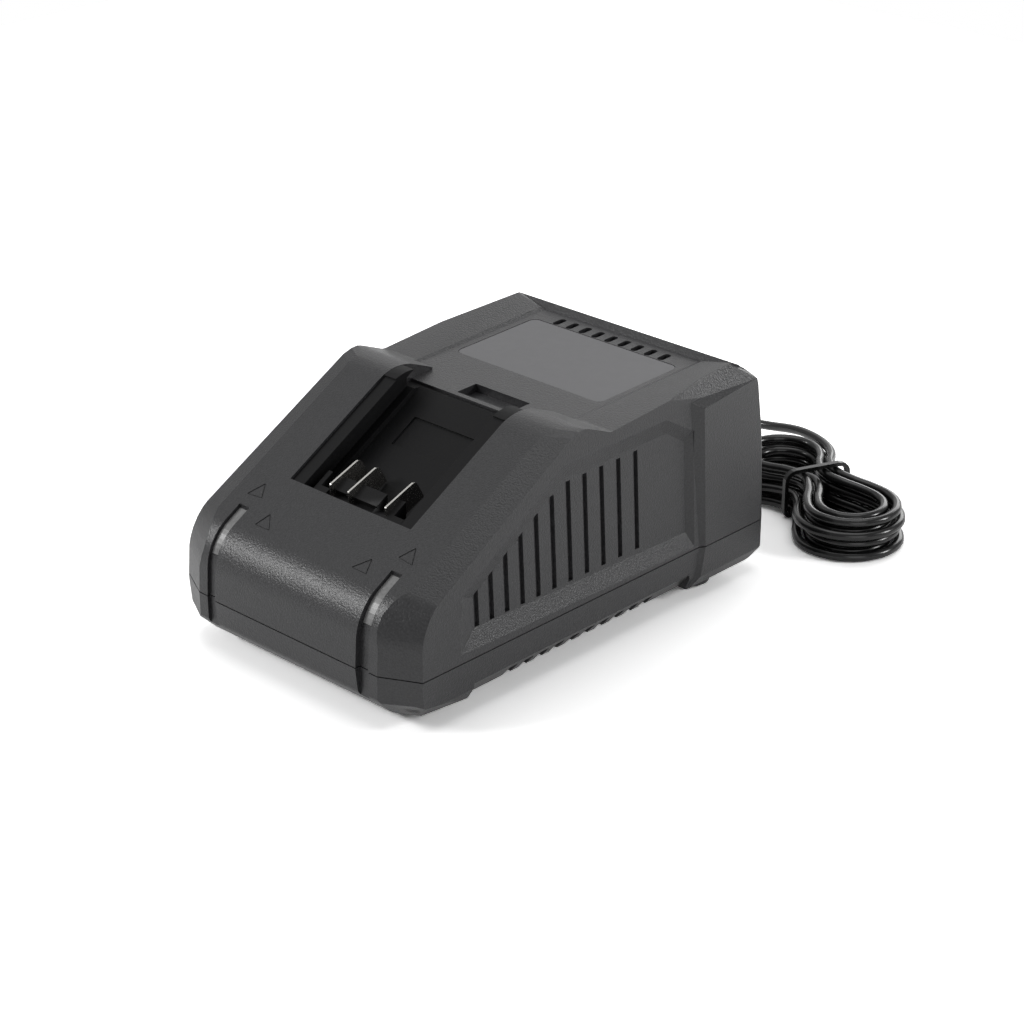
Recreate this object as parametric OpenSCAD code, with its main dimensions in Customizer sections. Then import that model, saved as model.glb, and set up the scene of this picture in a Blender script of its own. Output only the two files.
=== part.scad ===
// Charger for a slide-on power tool battery, with its mains lead tied in a hank.
// X runs across the charger, Y from its front to its back, Z up from the table.
// The origin is on the table under the middle of the housing.

/* [Housing] */
// Length of the housing from front to back
body_l = 191; // [188:0.5:194]
// Width across the side walls at the joint line
body_w = 120.8; // [119:0.2:122]
// Width across the wider rear block at the joint line
rear_w = 123.6; // [123:0.2:125]
// Height of the joint between the upper and lower halves
joint_z = 21.5; // [20.5:0.1:22.5]
// Wall thickness of both halves
wall = 2.5; // [2.2:0.1:2.8]
// Rise of the sloping front for each millimetre back
ramp_slope = 0.56; // [0.54:0.005:0.58]
// Height of the slope at the front edge of the battery bay
ramp_z = 60.6; // [60:0.1:61]

/* [Battery bay] */
// Width of the bay opening
bay_w = 61; // [60:0.2:62]
// Clear width between the two rail lips
lip_gap = 48.8; // [48:0.2:50]
// Depth of the bay floor under the slope
bay_depth = 11.9; // [11.5:0.1:12.3]
// Thickness of a rail lip
lip_t = 3; // [2.6:0.1:3.4]
// Thickness of a contact blade
blade_t = 0.8; // [0.6:0.1:1]

/* [Side panels] */
// Depth of the recessed side panel
panel_depth = 2.2; // [1.8:0.1:2.4]
// Number of grooves in each panel
groove_n = 11; // [8:1:11]
// Width of a groove at its mouth
groove_w = 2.5; // [1.6:0.1:2.6]

/* [Deck] */
// Number of vent slots behind the label
vent_n = 9; // [5:1:9]
// Spacing of the vent slots
vent_pitch = 6.6; // [6.2:0.1:7]
// Width of a vent slot
vent_w = 2.9; // [2.4:0.1:3.2]

/* [Lead] */
// Diameter of the mains lead
cord_d = 3.8; // [3.6:0.1:3.8]
// Step from one loop of the hank to the next
loop_step = 5; // [5:0.1:5.2]
// Step from one layer of the hank to the next
layer_step = 4.3; // [4.3:0.1:4.6]
// Radius of the innermost fold of the hank
fold_r = 11.4; // [11.4:0.1:12]

/* [Hidden] */

big = 400;               // reach of a cutting block
seam = 0.4;              // open line between the two halves
half_l = body_l / 2;
half_w = body_w / 2;
half_rear = rear_w / 2;
black = "#2b2b2c";
charcoal = "#454546";

// --- sloping front and deck -------------------------------------------------
bay_front = -62.7;       // front edge of the bay opening
bay_back = -2;           // front edge of the deck, where the bay ends
ramp_angle = atan(ramp_slope);
deck_z = 81.05;          // deck height at its front edge
deck_slope = 0.025;
hump_foot = 9.5;         // where the cheeks' humps run out on the deck
function ramp(y) = ramp_z + ramp_slope * (y - bay_front);
function deck(y) = deck_z + deck_slope * (y - bay_back);

// --- small geometry helpers -------------------------------------------------
function unit(v) = v / norm(v);
function left_of(v) = [-v[1], v[0]];

// Outline moved inwards by d, for points that run anticlockwise
function inset(p, d) = [for (i = [0:len(p) - 1])
    let (n = len(p),
         u = left_of(unit(p[i] - p[(i + n - 1) % n])),
         v = left_of(unit(p[(i + 1) % n] - p[i])))
    p[i] + (u + v) * d / (1 + u * v)];

// Middle of the arc of radius r that rounds the corner b between a and c
function arc_centre(a, b, c, r) =
    let (u = unit(a - b), v = unit(c - b))
    b + unit(u + v) * r / sin(acos(u * v) / 2);

// That arc in n steps
function corner_arc(a, b, c, r, n) =
    let (u = unit(a - b),
         v = unit(c - b),
         half = acos(u * v) / 2,
         centre = arc_centre(a, b, c, r),
         from = b + u * r / tan(half) - centre,
         turn = (u[0] * v[1] - u[1] * v[0] < 0 ? 1 : -1) * (180 - 2 * half),
         start = atan2(from[1], from[0]))
    [for (i = [0:n]) centre + r * [cos(start + turn * i / n), sin(start + turn * i / n)]];

// Outline with each corner rounded by its radius, where 0 keeps it sharp
function rounded(p, radii, n = 5) = [for (i = [0:len(p) - 1])
    let (m = len(p), r = radii[i])
    each (r == 0 ? [p[i]]
        : corner_arc(p[(i + m - 1) % m], p[i], p[(i + 1) % m], r, r > 10 ? 2 * n : n))];

// Outline moved in by d, with what that leaves of each corner's radius
function shrunk(p, radii, d, n = 5) =
    rounded(inset(p, d), [for (r = radii) r == 0 ? 0 : max(r - d, 0.2)], n);

function flip_x(p) = [for (i = [len(p) - 1:-1:0]) [-p[i][0], p[i][1]]];

// Prism of a side view outline (Y, Z) across the charger
module across(p, from = -100, to = 100) {
    translate([from, 0, 0])
        rotate([90, 0, 90])
            linear_extrude(to - from)
                polygon(p);
}

// Prism of a front view outline (X, Z) along the charger
module along(p, from = -150, to = 150) {
    translate([0, to, 0])
        rotate([90, 0, 0])
            linear_extrude(to - from)
                polygon(p);
}

// Everything on the side of the plane through p that its normal n points to
module half_space(p, n) {
    translate(p)
        rotate([0, acos(n[2] / norm(n)), atan2(n[1], n[0])])
            translate([-big / 2, -big / 2, 0])
                cube(big);
}

module mirrored() {
    children();
    mirror([1, 0, 0])
        children();
}

// Round bar from a to b, for posts, pins and wires
module rod(a, b, r, sides = 24) {
    v = b - a;
    translate(a)
        rotate([0, acos(v[2] / norm(v)), atan2(v[1], v[0])])
            cylinder(h = norm(v), r = r, $fn = sides);
}

module rounded_block(size, r) {
    w = size[0] / 2;
    l = size[1] / 2;
    linear_extrude(size[2])
        polygon(rounded([[-w, -l], [w, -l], [w, l], [-w, l]], [r, r, r, r]));
}

// --- outlines of the housing ------------------------------------------------
// Front wall as seen from the side, moved back by a given amount, up to the slope
function front_line(back) = let (top = -half_l + 1.4 + back)
    [[-half_l - 0.7 + back, 10], [top, ramp(top)]];

// Side view of the upper half: front, slope, crest, hump, shoulder, back
crest = [-9.9, ramp(-9.9)];
nose_r = 20;
crest_r = 21;
side_top = [front_line(0)[0], [half_l + 0.9, 10], [half_l - 4.8, 84.5],
    [hump_foot, 82], crest, front_line(0)[1]];
side_radii = [0, 0, 12, 6, crest_r, nose_r];

// Side view of the lower half
side_low = [[-half_l + 8.5, 4.5], [half_l - 8, 4.5], [half_l - 0.6, 12.5],
    [half_l, joint_z], [half_l, 32], [-half_l, 32], [-half_l, joint_z], [-half_l + 1, 12]];
low_side_radii = [4, 6, 4, 0, 0, 0, 0, 4];

// Front views: the upper walls lean in as they rise, the lower ones as they fall
lean = 3.1 / 61;
rear_lean = 0.022;
function lean_in(w, slope, z) = w - slope * (z - joint_z);
front_top_view = [[-lean_in(half_w, lean, 0), 0], [lean_in(half_w, lean, 0), 0],
    [lean_in(half_w, lean, 96), 96], [-lean_in(half_w, lean, 96), 96]];
shoulder_in = 50.5;
rear_top_view = [[-lean_in(half_rear, rear_lean, 0), 0], [lean_in(half_rear, rear_lean, 0), 0],
    [60.6, 77.3], [shoulder_in, 84.6], [-shoulder_in, 84.6], [-60.6, 77.3]];
function low_view(w) = [[-w + 3.6, 4.5], [w - 3.6, 4.5], [w - 0.9, 9.4], [w, joint_z],
    [w, 32], [-w, 32], [-w, joint_z], [-w + 0.9, 9.4]];
low_view_radii = [2, 2, 2, 0, 0, 0, 0, 2];

// Plan views: the middle of the front stands proud, and a channel on each side of it
// takes the light pipe
pipe_x = [36.4, 41.2];
pipe_top = -77.6;
pipe_low = 37.8;
column_back = 1;         // how far the column of the light pipe is set back
channel_t = 1.2;         // depth of the channel in the column
channel_x = [pipe_x[0] - 0.2, pipe_x[1] + 0.2];
corner_x = 45.8;         // where the column's flat turns back to the side wall
front_end = 61.5;
front_half = [[channel_x[0], -half_l], [channel_x[0], -half_l + column_back + channel_t],
    [channel_x[1], -half_l + column_back + channel_t], [channel_x[1], -half_l + column_back],
    [corner_x, -half_l + column_back], [half_w, -half_l + 8.4], [half_w, front_end]];
front_plan = concat(front_half, flip_x(front_half));
rear_half = [[56, 50.5], [half_rear, 58.7], [half_rear, half_l]];
rear_plan = concat(rear_half, flip_x(rear_half));
rear_radii = [0, 0, 6, 6, 0, 0];

// Front wall, back, slope and crest of a column that is set back, all moved in by d
function column_lines(d) = let (f = front_line(column_back))
    inset([f[0], [half_l, 10], crest, f[1]], d);
nose_n = 10;
nose_at = let (f = column_lines(0)) arc_centre(f[0], f[3], f[2], nose_r);
crest_at = arc_centre(side_top[3], crest, side_top[5], crest_r);

// Cuts that round the front corners and the cheeks in one sweep: the middle of the arc
// they touch, its radius, the direction they face, where they start and how steep they are
front_facing = 176.4;
slope_facing = 90 + ramp_angle;
sweep_n = 6;
sweep = concat(
    [for (i = [0:sweep_n])
        let (t = i / sweep_n, a = front_facing + (slope_facing - front_facing) * t)
        [nose_at, nose_r, a, corner_x + 2.7 * t - 2.6 * sin(180 * t), 0.507 - 0.149 * t]],
    [[crest_at, crest_r, 106, 48.8, 0.23], [crest_at, crest_r, 93, 49.3, 0.1]]);
sweep_inside = [sweep[0], sweep[2], sweep[4], sweep[sweep_n]];

// Facet where the shoulder turns down to the wider rear block
facet_a = [57.2, 41, 82.9];
facet_b = [shoulder_in, 59.5, 84.6];
facet_c = [60.6, 59.5, 77.3];
facet_n = unit(cross(facet_a - facet_b, facet_c - facet_b));

// Room in front of a light pipe's column, and of the channel in it
module column_cut(d) {
    f = column_lines(d);
    arc = corner_arc(f[0], f[3], f[2], nose_r - d, nose_n);
    across(concat([2 * f[0] - f[3]], [for (i = [0:nose_n - 1]) arc[i]],
        [6 * arc[nose_n] - 5 * arc[nose_n - 1], [-130, 90], [-130, -20]]),
        channel_x[0] + 0.4 - d, 100);
    g = column_lines(channel_t + d);
    end = pipe_top + 0.2 + d;
    across(concat([2 * g[0] - g[3]], corner_arc(g[0], g[3], g[2], nose_r - channel_t - d, nose_n),
        [[end, ramp(end) - (channel_t + d) / cos(ramp_angle)], [end, 95], [-130, 95], [-130, -30]]),
        channel_x[0] - d, channel_x[1] + d);
}

// Middle of the upper half between the columns, moved in by d
module middle_form(d) {
    difference() {
        across(shrunk(side_top, side_radii, d));
        deck_hollow(d);
    }
}

// Solid outline of the upper half, moved in by d, with thicker side walls
module upper_form(d = 0, side = 0, cuts = sweep) {
    difference() {
        union() {
            difference() {
                intersection() {
                    across(shrunk(side_top, side_radii, d));
                    along(inset(front_top_view, d + side), -150, front_end - d);
                }
                mirrored() {
                    column_cut(d);
                    for (s = cuts) {
                        facing = [0, cos(s[2]), sin(s[2])];
                        n = unit(facing + [s[4], 0, 0]);
                        half_space([s[3], s[0][0], s[0][1]] + facing * s[1] - n * d, n);
                    }
                    half_space(facet_b - facet_n * d, facet_n);
                }
            }
            intersection() {
                across(shrunk(side_top, side_radii, d));
                linear_extrude(100)
                    polygon(shrunk(rear_plan, rear_radii, d));
                along(inset(rear_top_view, d));
            }
        }
        deck_hollow(d);
    }
}

// Cut along the lower edge of each side, between the blocks over the feet
edge_n = unit([6.5, 0, -5.5]);
module side_edge_cut(d) {
    intersection() {
        half_space([half_w - 6.6, 0, 4.5] - edge_n * d, edge_n);
        across([[-66.5 - d, -20], [-61 - d, 16], [52 + d, 16], [55 + d, -20]]);
    }
}

module lower_form(d = 0) {
    difference() {
        lower_block(d);
        mirrored()
            side_edge_cut(d);
    }
}

module lower_block(d) {
    intersection() {
        across(shrunk(side_low, low_side_radii, d, 3));
        union() {
            intersection() {
                linear_extrude(40)
                    polygon(inset(front_plan, d));
                along(shrunk(low_view(half_w), low_view_radii, d, 3));
            }
            intersection() {
                linear_extrude(40)
                    polygon(shrunk(rear_plan, rear_radii, d));
                along(shrunk(low_view(half_rear), low_view_radii, d, 3));
            }
        }
    }
}

// Places its children on the deck, with Y along it from the deck's front edge
module on_deck() {
    translate([0, bay_back, deck_z])
        rotate([atan(deck_slope), 0, 0])
            children();
}

// Places its children on the slope, with Y up it from the bay's front edge
module on_ramp() {
    translate([0, bay_front, ramp_z])
        rotate([ramp_angle, 0, 0])
            children();
}

// Places its children on the right side wall, with X outwards
module on_side() {
    translate([half_w, 0, joint_z])
        rotate([0, -atan(lean), 0])
            children();
}

// Room over the deck: narrow between the humps, wide between the shoulders
module deck_hollow(d) {
    from = bay_back - 1 - d;
    to = half_l + 20;
    across([[from, deck(from) - d], [to, deck(to) - d], [to, 110], [from, 110]],
        -bay_w / 2 - d, bay_w / 2 + d);
    on_deck()
        along([[-39 - d, -d], [39 + d, -d], [47 + d, 4], [-47 - d, 4]], 11, 140);
}

// --- upper half -------------------------------------------------------------
panel_mouth = [[-69, 3.6], [49, 1.4], [54, 1.4], [54, 47.4], [39.5, 56], [-15.5, 55.4],
    [-67, 24.5]];
panel_floor = [[-60, 10], [23.5, 10], [37, 8], [51.2, 7.6], [51.2, 43.5], [41.5, 49.6],
    [-12.5, 49.4], [-60, 21.5]];
groove_last = 24.5;
function groove_y(i) = groove_last - 9.3 * i + 0.1 * i * i;
function groove_top(y) = min(48.3, 26 + 0.5 * (y + 58.5));

module panel_slab(p, x, t) {
    translate([x, 0, 0])
        rotate([90, 0, 90])
            linear_extrude(t)
                polygon(p);
}

module side_panel() {
    on_side() {
        hull() {
            panel_slab(panel_mouth, 0, 3);
            panel_slab(panel_floor, -panel_depth, 0.1);
        }
        for (i = [0:groove_n - 1]) {
            y = groove_y(i);
            translate([-panel_depth, y, 10.2])
                linear_extrude(groove_top(y) - 10.2)
                    polygon([[0.2, -groove_w / 2], [0.2, groove_w / 2],
                        [-1.5, groove_w / 2 - 0.3], [-1.5, -0.1]]);
        }
    }
}

module pipe_window(gap) {
    translate([pipe_x[0] - gap, -120, pipe_low - gap])
        cube([pipe_x[1] - pipe_x[0] + 2 * gap, 120 + pipe_top + gap, 40]);
}

pocket_x = 4.5;          // middle of the latch pocket
pocket = [27, 9.9, 3.2];
pocket_lip = 2.2;        // strip of deck left in front of the pocket
collar_t = 1.8;          // thickness of the walls round the bay and the pocket
collar_h = 9;            // how far the bay's collar hangs under the slope
boss_front = [50, -62];
boss_rear = [51.5, 82];
boss_r = 4.4;
label_size = [72.6, 43.6];
label_at = [0, 50.8];    // middle of the label from the deck's front edge

module slot(w, l, h) {
    translate([-w / 2, -l / 2 + w / 2, 0])
        cube([w, l - w, h]);
    for (s = [-1, 1])
        translate([0, s * (l - w) / 2, 0])
            cylinder(h = h, d = w, $fn = 24);
}

module upper_housing() {
    color(charcoal)
        difference() {
            union() {
                difference() {
                    upper_form();
                    upper_form(wall, panel_depth, sweep_inside);
                    side_panel();
                    mirror([1, 0, 0])
                        side_panel();
                }
                bay_collar();
                latch_pocket();
                mirrored()
                    screw_towers();
            }
            translate([-big / 2, -big / 2, joint_z + seam - big])
                cube(big);
            // groove that drops over the lower half's tongue
            joint_ring(tongue_out - 0.1, tongue_in + 0.1, joint_z - 3, tongue_h + 3.1);
            bay_opening();
            mirrored()
                pipe_window(0.05);
            on_deck() {
                translate([label_at[0], label_at[1], -0.6])
                    rounded_block([label_size[0] + 0.2, label_size[1] + 0.2, 6], 3);
                for (i = [0:vent_n - 1])
                    translate([(i - (vent_n - 1) / 2) * vent_pitch, 76.2, -5])
                        slot(vent_w, 6.6, 10);
                translate([pocket_x - pocket[0] / 2, pocket_lip, -pocket[2]])
                    cube([pocket[0], pocket[1], 20]);
            }
            gland_hole();
            mirrored()
                for (p = [boss_front, boss_rear])
                    translate([p[0], p[1], joint_z - 1])
                        cylinder(h = 16, r = 1.5, $fn = 24);
        }
}

// Opening through the slope for the battery's foot
module bay_opening() {
    translate([-bay_w / 2, bay_front, 30])
        cube([bay_w, bay_back - bay_front, 80]);
}

// Walls that hang round the bay opening inside the slope
module bay_collar() {
    intersection() {
        middle_form(1);
        difference() {
            translate([-bay_w / 2 - collar_t, bay_front - collar_t, 30])
                cube([bay_w + 2 * collar_t, bay_back - bay_front + collar_t, 80]);
            on_ramp()
                translate([-100, -60, -collar_h - 100])
                    cube([200, 200, 100]);
        }
    }
}

// Box under the pocket behind the deck's front edge, where the battery's latch drops in
module latch_pocket() {
    on_deck()
        translate([pocket_x - pocket[0] / 2 - collar_t, 0, -pocket[2] - collar_t])
            cube([pocket[0] + 2 * collar_t, pocket_lip + pocket[1] + collar_t, pocket[2]]);
}

// Towers inside the upper half that take the housing screws
module screw_towers() {
    intersection() {
        upper_form(1, 0, [sweep[sweep_n]]);
        for (p = [boss_front, boss_rear])
            translate([p[0], p[1], joint_z])
                cylinder(h = 80, r = boss_r, $fn = 32);
    }
}

// --- mains lead exit ----------------------------------------------------------
exit_x = -36;
exit_z = joint_z;
neck_r = 4.4;
relief_tip = half_l + 32;

module gland_hole() {
    rod([exit_x, half_l - 6, exit_z], [exit_x, half_l + 4, exit_z], neck_r + 0.05, 32);
}

// --- lower half ---------------------------------------------------------------
foot_at = [[41, -74.4], [47.5, 66.2]];
foot_r = 6.4;
stand_at = [[38, -70], [38, 62]];
board_z = 11;
board_t = 1.6;
clamp_y = 78;
keyhole_y = 42;

// Tongue on the lower half that locates the upper half
tongue_out = 1.3;        // its outer face, in from the outside of the wall
tongue_in = wall - 0.05;
tongue_h = 2.2;
module joint_ring(from, to, z, h) {
    translate([0, 0, z])
        linear_extrude(h)
            difference() {
                joint_plan(from);
                joint_plan(to);
            }
}

module joint_plan(d) {
    polygon(inset(front_plan, d));
    polygon(shrunk(rear_plan, rear_radii, d));
}

module base_housing() {
    color(charcoal)
        difference() {
            union() {
                difference() {
                    lower_form();
                    lower_form(wall);
                    translate([-big / 2, -big / 2, joint_z])
                        cube(big);
                }
                joint_ring(tongue_out, tongue_in, joint_z - 1, tongue_h + 1);
                mirrored() {
                    for (p = foot_at)
                        translate([p[0], p[1], 1.5])
                            cylinder(h = 4, r = foot_r + 1.8, $fn = 48);
                    for (p = [boss_front, boss_rear])
                        translate([p[0], p[1], 5])
                            cylinder(h = joint_z - 5, r = boss_r, $fn = 32);
                    for (p = stand_at)
                        translate([p[0], p[1], 5])
                            cylinder(h = board_z - 5, r = 3, $fn = 24);
                }
                // saddle under the lead
                translate([exit_x - 10.5, clamp_y - 4, 5])
                    cube([21, 8, joint_z - 5]);
            }
            mirrored() {
                for (p = foot_at)
                    translate([p[0], p[1], -1])
                        cylinder(h = 4, r = foot_r, $fn = 48);
                for (p = [boss_front, boss_rear])
                    translate([p[0], p[1], 0]) {
                        cylinder(h = 14, r = 3.5, $fn = 32);
                        cylinder(h = 40, r = 1.7, $fn = 24);
                    }
                for (p = stand_at)
                    translate([p[0], p[1], 7.5])
                        cylinder(h = 10, r = 1.1, $fn = 24);
                // air slots along the lower edge of each side
                for (i = [0:9])
                    translate([49, -42 + 8 * i, 3])
                        cube([12, 4.2, 6]);
            }
            gland_hole();
            rod([exit_x, clamp_y - 9, exit_z], [exit_x, half_l - 4, exit_z], cord_d / 2 + 0.05);
            for (s = [-1, 1])
                translate([exit_x + s * 7, clamp_y, 8])
                    cylinder(h = 20, r = 1.2, $fn = 24);
            // keyholes for two wall screws
            for (s = [-1, 1])
                translate([0, s * keyhole_y, 0]) {
                    cylinder(h = 9, r = 4.5, $fn = 32);
                    translate([0, 4, 0])
                        slot(4.6, 12.6, 9);
                }
        }
}

// --- battery bay ----------------------------------------------------------------
floor_t = 2.5;
lip_sink = 1;            // the lips lie a little under the slope
lip_out = bay_w / 2 - 0.15;
stop_u = 53.5;           // where the raised block at the top of each lip starts
stop_back = -6.6;        // where it ends, in front of the deck
block_y = [bay_front + 1.9, bay_front + 11];
blade_x = [-14, -4.7, 14];

module battery_cradle() {
    color(black)
        difference() {
            union() {
                intersection() {
                    middle_form(0.05);
                    translate([-lip_out, bay_front + 0.1, 30])
                        cube([2 * lip_out, bay_back - bay_front - 0.2, 80]);
                    on_ramp() {
                        translate([-50, -40, -bay_depth - floor_t])
                            cube([100, 140, bay_depth + floor_t - lip_sink]);
                        translate([-50, stop_u, -bay_depth])
                            cube([100, 20, 40]);
                    }
                }
                // flange that bears up against the housing's collar
                intersection() {
                    translate([-lip_out - 2.5, bay_front - 2.5, 30])
                        cube([2 * lip_out + 5, 45, 80]);
                    on_ramp()
                        translate([-50, -40, -collar_h - 2.4])
                            cube([100, 140, 2.4]);
                }
            }
            // the lips drop behind the raised blocks
            translate([-50, stop_back, deck_z - 1])
                cube([100, 20, 20]);
            on_ramp() {
                translate([-lip_gap / 2, -40, -bay_depth])
                    cube([lip_gap, 140, 60]);
                // channels under the lips
                translate([-lip_out + 2.2, 2.4, -bay_depth + 1.6])
                    cube([2 * lip_out - 4.4, 140, bay_depth - lip_sink - lip_t - 1.6]);
                // shallow square well in the floor
                translate([-16, 34.5, -bay_depth - 0.8])
                    cube([32, 14, 5]);
            }
            for (x = blade_x)
                translate([x - blade_t / 2 - 0.05, block_y[0] + 1.9, 30])
                    cube([blade_t + 0.1, 5.2, 40]);
        }
}

block_top = -3.4;        // top of the terminal block, under the slope
module terminal_block() {
    color(black)
        difference() {
            intersection() {
                translate([-22, block_y[0] + 0.6, 30])
                    cube([44, block_y[1] - block_y[0] - 0.6, 60]);
                on_ramp()
                    translate([-50, -20, -bay_depth])
                        cube([100, 60, bay_depth + block_top]);
            }
            // slots that the ribs of the battery's foot slide over
            for (s = [[-20, -15.6], [7.8, 11.3], [17, 22.1]])
                translate([s[0], bay_front + 5.2, 50.5])
                    cube([s[1] - s[0], 20, 40]);
            // step along the front of the block
            on_ramp()
                translate([-15.6, -5, -6])
                    cube([23.4, 9.6, 20]);
            for (x = blade_x)
                translate([x - blade_t / 2, block_y[0] + 2, 30])
                    cube([blade_t, 5, 60]);
        }
}

// One blade: a tail down through the block and a tongue up the slope
blade_tail = block_y[0] + 2;
module blade() {
    across(rounded([[blade_tail, 40], [blade_tail + 5, 40], [blade_tail + 5, 54.5],
        [blade_tail + 18.5, 60.2], [blade_tail + 18, 61.5], [blade_tail + 14.6, 67.6],
        [blade_tail, 62.2]], [0, 0, 0, 0.4, 1.5, 2.2, 0.5], 4), -blade_t / 2, blade_t / 2);
}

module contact_blades() {
    color("#d9d9d6")
        for (x = blade_x)
            translate([x, 0, 0])
                blade();
}

// --- small outside pieces -------------------------------------------------------
led_at = [38.8, -80];
module column_form(d) {
    difference() {
        across(shrunk(side_top, side_radii, d));
        column_cut(d);
    }
}

module light_pipe() {
    color("#9c9c9c")
        union() {
            intersection() {
                difference() {
                    column_form(0.1);
                    column_form(wall);
                }
                pipe_window(0);
            }
            // flange behind the wall
            intersection() {
                difference() {
                    column_form(wall);
                    column_form(wall + 1.2);
                }
                pipe_window(1.2);
            }
            // stem that brings the light up from the board
            intersection() {
                column_form(wall - 0.2);
                translate([pipe_x[0], led_at[1] - 2, 23])
                    cube([pipe_x[1] - pipe_x[0], 4, 40]);
            }
        }
}

module light_pipe_left() {
    mirror([1, 0, 0])
        light_pipe();
}

module light_pipe_right() {
    light_pipe();
}

module label_plate() {
    color("#6e6e6e")
        on_deck()
            translate([label_at[0], label_at[1], -0.6])
                rounded_block([label_size[0], label_size[1], 0.5], 3);
}

module rubber_feet() {
    color("#1c1c1c")
        mirrored()
            for (p = foot_at)
                translate([p[0], p[1], 0])
                    rotate_extrude($fn = 48)
                        polygon([[0, 0], [foot_r - 1.2, 0], [foot_r - 0.1, 1.1],
                            [foot_r - 0.1, 3], [0, 3]]);
}

// Pan-head screw that points up, its head's underside at z = 0
module screw(head_r, head_h, shank_r, shank_l) {
    difference() {
        union() {
            translate([0, 0, -head_h])
                cylinder(h = head_h, r = head_r, $fn = 24);
            cylinder(h = shank_l, r = shank_r, $fn = 24);
        }
        for (a = [0, 90])
            rotate([0, 0, a])
                translate([-head_r * 0.6, -0.4, -head_h - 1])
                    cube([head_r * 1.2, 0.8, 1.9]);
    }
}

module housing_screws() {
    color("#b4b4b2")
        mirrored()
            for (p = [boss_front, boss_rear])
                translate([p[0], p[1], 14])
                    screw(3.1, 2.2, 1.45, 20);
}

// --- circuit board and what stands on it ------------------------------------------
board_y = [-84, 70];
board_w = 86;
board_top = board_z + board_t;

module circuit_board() {
    color("#2f6b3f")
        difference() {
            translate([-board_w / 2, board_y[0], board_z])
                cube([board_w, board_y[1] - board_y[0], board_t]);
            mirrored()
                for (p = stand_at)
                    translate([p[0], p[1], 0])
                        cylinder(h = 40, r = 1.4, $fn = 24);
        }
}

module board_screws() {
    color("#b4b4b2")
        mirrored()
            for (p = stand_at)
                translate([p[0], p[1], board_top])
                    rotate([180, 0, 0])
                        screw(2.4, 1.8, 1.05, 4.8);
}

core_at = [10, 34];
module transformer_core() {
    color("#3a3a3d")
        translate([core_at[0] - 20, core_at[1] - 7, board_top])
            difference() {
                cube([40, 14, 36]);
                for (x = [5, 26])
                    translate([x, -1, 7])
                        cube([9, 16, 22]);
            }
}

module transformer_winding() {
    color("#c9a227")
        translate([core_at[0], core_at[1], board_top + 7.1])
            difference() {
                rounded_block([29.6, 34, 21.8], 6);
                translate([-6.1, -7.1, -1])
                    cube([12.2, 14.2, 40]);
            }
}

module can(at, r, h) {
    translate([at[0], at[1], board_top])
        rotate_extrude($fn = 40)
            polygon([[0, 0], [r - 0.6, 0], [r, 0.8], [r, 2.4], [r - 0.5, 3],
                [r, 3.6], [r, h - 0.8], [r - 0.8, h], [0, h]]);
}

module bulk_capacitor() {
    color("#20252c")
        can([-27, 26], 9, 31);
}

module output_capacitor() {
    color("#20252c")
        can([30, -34], 5, 20);
}

module filter_capacitor() {
    color("#c8b23c")
        translate([28, 54, board_top])
            cube([9, 13, 14]);
}

module mains_choke() {
    color("#b06a3a")
        translate([8, 61, board_top + 8.5])
            rotate([90, 0, 0])
                rotate_extrude($fn = 40)
                    translate([5.8, 0])
                        circle(r = 2.7, $fn = 24);
}

module mains_fuse() {
    color("#d8d8d0")
        rod([-34, 44, board_top + 2.6], [-14, 44, board_top + 2.6], 2.6);
}

sink_at = [-26, -14];
module heat_sink() {
    color("#a9abad")
        translate([sink_at[0], sink_at[1], board_top]) {
            cube([56, 3, 30]);
            for (i = [0:6])
                translate([i * 9, -10, 0])
                    cube([2, 10.5, 30]);
        }
}

// Flat power package that leans on the heat sink's back
module power_package(x) {
    translate([x - 5, sink_at[1] + 3, board_top + 4])
        cube([10, 4.5, 15]);
    for (i = [-1:1])
        translate([x + i * 2.5 - 0.4, sink_at[1] + 5.6, board_top])
            cube([0.8, 0.8, 4.5]);
}

module power_transistor() {
    color("#303134")
        power_package(-12);
}

module output_rectifier() {
    color("#303134")
        power_package(14);
}

module status_leds() {
    color("#e6e8e4")
        mirrored()
            translate([led_at[0], led_at[1], board_top])
                rotate_extrude($fn = 24)
                    polygon([[0, 0], [2.9, 0], [2.9, 1], [2.5, 1], [2.5, 6.4], [1.6, 8], [0, 8.6]]);
}

module blade_wires() {
    color("#b23a32")
        for (x = blade_x)
            rod([x, blade_tail + 2.5, board_top], [x, blade_tail + 2.5, 40], 1.1);
}

// --- mains side inside the housing --------------------------------------------------
sheath_front = clamp_y - 8;
module mains_sheath() {
    color(black)
        rod([exit_x, sheath_front, exit_z], [exit_x, half_l - wall - 2.5, exit_z], cord_d / 2);
}

module mains_wires() {
    color("#4a6fa5")
        for (s = [-1, 1]) {
            rod([exit_x + s * 0.9, sheath_front, exit_z], [exit_x + s * 0.9, 62, exit_z], 0.7, 16);
            rod([exit_x + s * 0.9, 62, exit_z + 0.7], [exit_x + s * 0.9, 62, board_top], 0.7, 16);
        }
}

module cord_clamp() {
    color("#d6d4cc")
        difference() {
            translate([exit_x - 10, clamp_y - 3.5, joint_z])
                cube([20, 7, 4.4]);
            rod([exit_x, clamp_y - 9, exit_z], [exit_x, clamp_y + 9, exit_z], cord_d / 2 + 0.05);
            for (s = [-1, 1])
                translate([exit_x + s * 7, clamp_y, 8])
                    cylinder(h = 30, r = 1.4, $fn = 24);
        }
}

module clamp_screws() {
    color("#b4b4b2")
        for (s = [-1, 1])
            translate([exit_x + s * 7, clamp_y, joint_z + 4.4])
                rotate([180, 0, 0])
                    screw(2.4, 1.8, 1.15, 14);
}

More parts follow.
